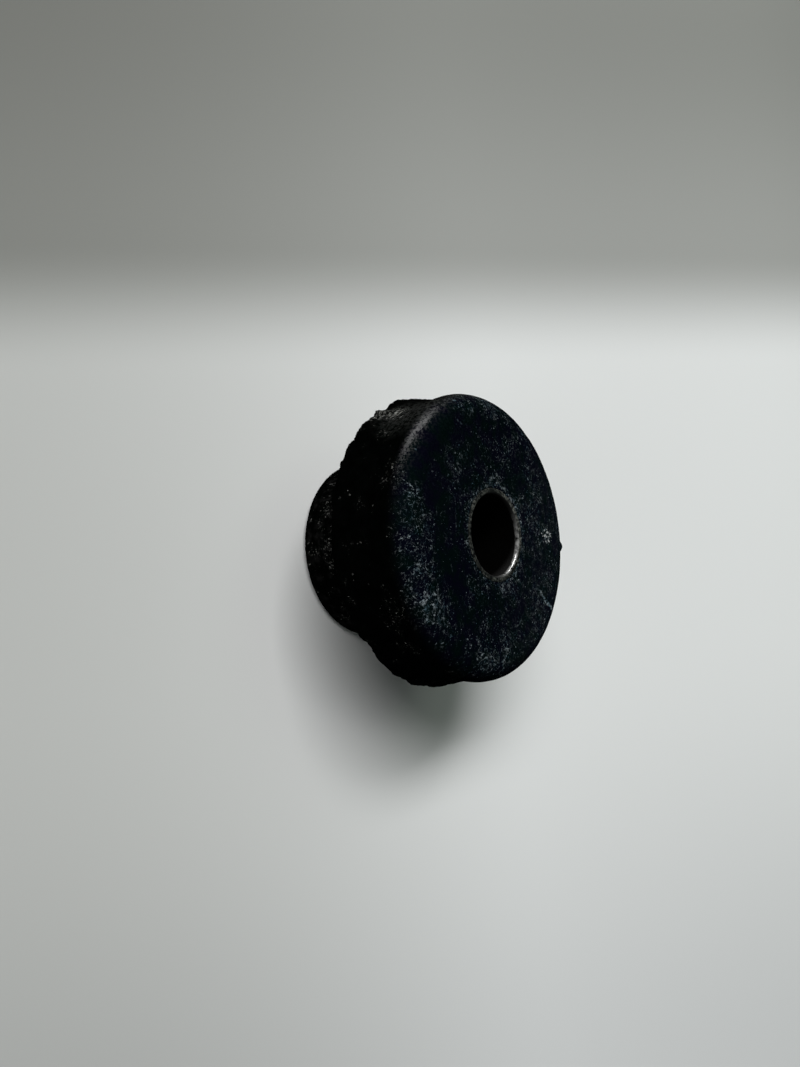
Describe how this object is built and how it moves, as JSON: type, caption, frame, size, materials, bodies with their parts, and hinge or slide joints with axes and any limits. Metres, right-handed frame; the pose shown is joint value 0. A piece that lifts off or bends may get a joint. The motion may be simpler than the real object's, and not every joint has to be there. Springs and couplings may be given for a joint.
{
  "type": "rubber isolation mount",
  "caption": "Flanged rubber vibration mount with a centring spigot and a steel sleeve bore; the moulding flash at the flange edge is torn.",
  "frame": {"origin": "centre of the spigot's end face, on the bore axis", "axes": "+Z along the bore axis, from the spigot to the load face; X and Y are free, because the mount is round"},
  "size_m": [0.0627, 0.0627, 0.0373],
  "materials": {
    "rubber": "matt black, dusty, scuffed",
    "sleeve_steel": "dull, darkened, bright on the mouth's chamfer"
  },
  "bodies": {
    "root": {"rubber_body": "rubber", "inner_sleeve": "sleeve_steel"}
  },
  "joints": []
}
